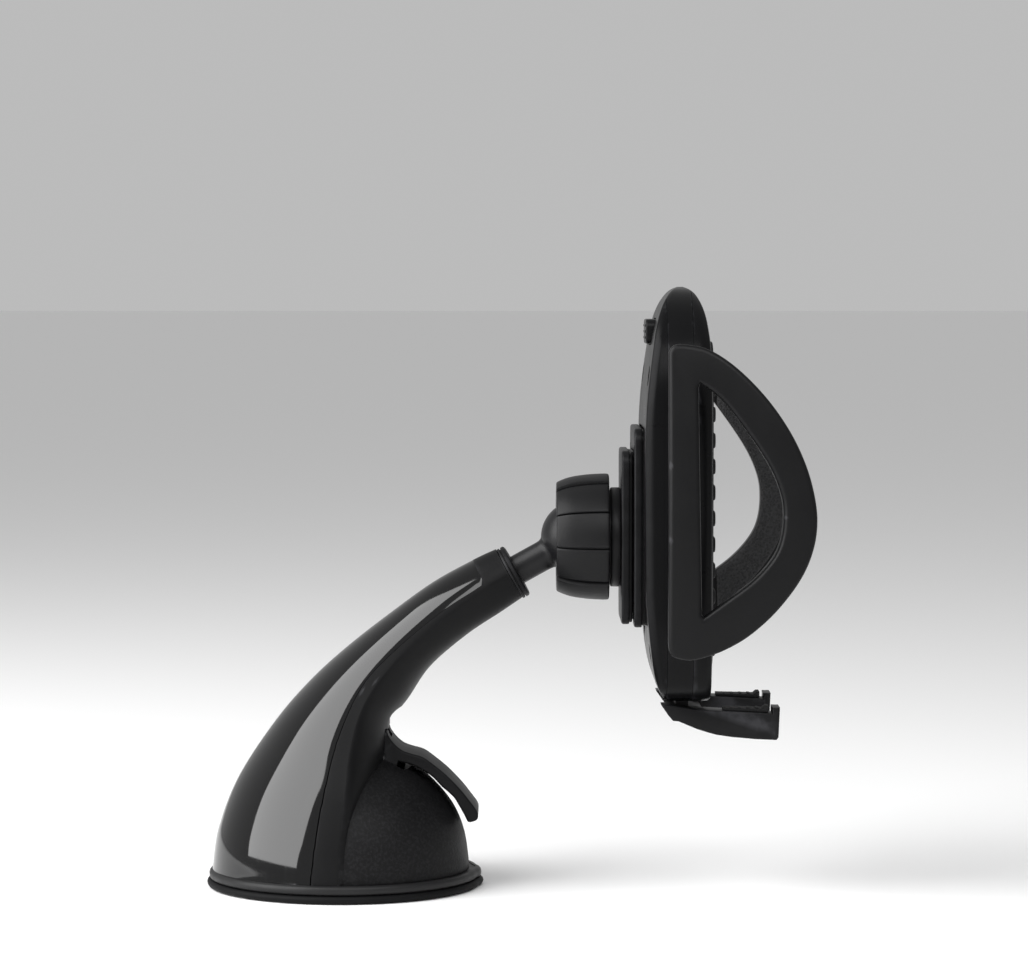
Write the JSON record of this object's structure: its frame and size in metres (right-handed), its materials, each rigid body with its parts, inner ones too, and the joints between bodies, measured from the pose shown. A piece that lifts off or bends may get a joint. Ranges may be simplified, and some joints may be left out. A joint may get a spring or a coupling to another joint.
{
  "type": "car phone mount",
  "caption": "Suction car phone mount: domed base with lock lever, curved arm, ball joint with clamp nut, and a slide-on cradle with two linked side arms and a foot.",
  "frame": {"origin": "centre of the suction face, in the plane that meets the windscreen or dashboard", "axes": "+Z away from the suction face, +X towards the phone, X-Z is the plane of symmetry"},
  "size_m": [0.1406, 0.088, 0.1405],
  "materials": {
    "matte_black": "satin",
    "gloss_black": "polished",
    "soft_rubber": "matte",
    "foam": "matte",
    "nylon": "satin",
    "steel": "satin"
  },
  "bodies": {
    "base": {"suction_pad": "soft_rubber", "pad_diaphragm": "soft_rubber", "base_ring": "soft_rubber", "base_housing": "matte_black", "arm_cover": "gloss_black", "stem_guide": "matte_black", "guide_screws": "steel", "arm_collar": "matte_black", "ball_stud": "matte_black", "lever_pin": "steel", "suction_spring": "steel"},
    "stem": {"pull_stem": "nylon"},
    "lever": {"lock_lever": "matte_black", "crank_pin": "steel"},
    "rear_seat_body": {"rear_seat": "nylon"},
    "front_seat_body": {"front_seat": "nylon"},
    "head": {"socket_cup": "matte_black", "mount_plate": "matte_black", "plate_screws": "steel"},
    "nut": {"clamp_nut": "matte_black"},
    "cradle": {"rail_block": "matte_black", "rail_screws": "steel", "back_cover": "gloss_black", "body_frame": "matte_black", "front_panel": "matte_black", "front_pad": "soft_rubber", "cradle_screws": "steel", "pinion_axle": "steel", "pinion_spring": "steel", "button_springs": "steel", "pawl_pin": "steel"},
    "pinion_body": {"pinion": "nylon"},
    "near_arm": {"arm_near": "matte_black", "arm_pad_near": "foam"},
    "far_arm": {"arm_far": "matte_black", "arm_pad_far": "foam"},
    "button": {"release_button": "matte_black"},
    "pawl": {"latch_pawl": "steel"},
    "foot": {"foot_bracket": "matte_black", "foot_pads": "soft_rubber"}
  },
  "joints": [
    {"name": "lever_lift", "type": "hinge", "parent": "base", "child": "lever", "pos_m": [0.0085, 0, 0.031], "axis": [0, -1, 0], "range_deg": [0, 55]},
    {"name": "stem_slide", "type": "slide", "parent": "base", "child": "stem", "axis": [0, 0, 1], "range_m": [-0.0042, 0], "deforming": ["pad_diaphragm", "suction_spring"]},
    {"name": "head_pitch", "type": "hinge", "parent": "base", "child": "rear_seat_body", "pos_m": [0.0548, 0, 0.0818], "axis": [0, -1, 0], "range_deg": [-3, 55]},
    {"name": "head_yaw", "type": "hinge", "parent": "rear_seat_body", "child": "front_seat_body", "pos_m": [0.0548, 0, 0.0818], "axis": [0, 0, 1], "range_deg": [-20, 20]},
    {"name": "head_roll", "type": "hinge", "parent": "front_seat_body", "child": "head", "pos_m": [0.0548, 0, 0.0818], "axis": [1, 0, 0], "continuous": true},
    {"name": "nut_turn", "type": "hinge", "parent": "head", "child": "nut", "pos_m": [0.0548, 0, 0.0818], "axis": [1, 0, 0], "range_deg": [0, 120]},
    {"name": "cradle_slide", "type": "slide", "parent": "head", "child": "cradle", "axis": [0, 0, 1], "range_m": [0, 0.03]},
    {"name": "near_arm_slide", "type": "slide", "parent": "cradle", "child": "near_arm", "axis": [0, -1, 0], "range_m": [-0.01, 0.008]},
    {"name": "far_arm_slide", "type": "slide", "parent": "cradle", "child": "far_arm", "axis": [0, -1, 0], "range_m": [-0.008, 0.01]},
    {"name": "pinion_spin", "type": "hinge", "parent": "cradle", "child": "pinion_body", "pos_m": [0.079, 0, 0.0923], "axis": [-1, 0, 0], "range_deg": [-90, 90]},
    {"name": "button_press", "type": "slide", "parent": "cradle", "child": "button", "axis": [1, 0, 0], "range_m": [0, 0.0012], "stiffness_N_per_m": 900},
    {"name": "pawl_swing", "type": "hinge", "parent": "cradle", "child": "pawl", "pos_m": [0.0743, 0, 0.118], "axis": [0, 1, 0], "range_deg": [0, 6]},
    {"name": "foot_slide", "type": "slide", "parent": "cradle", "child": "foot", "axis": [0, 0, -1], "range_m": [0, 0.012]}
  ],
  "couplings": [
    {"joint": "stem_slide", "follows": "lever_lift", "m_per_rad": -0.0043},
    {"joint": "far_arm_slide", "follows": "near_arm_slide", "ratio": -1},
    {"joint": "pinion_spin", "follows": "near_arm_slide", "rad_per_m": 142.86},
    {"joint": "pawl_swing", "follows": "button_press", "rad_per_m": 83.3}
  ]
}
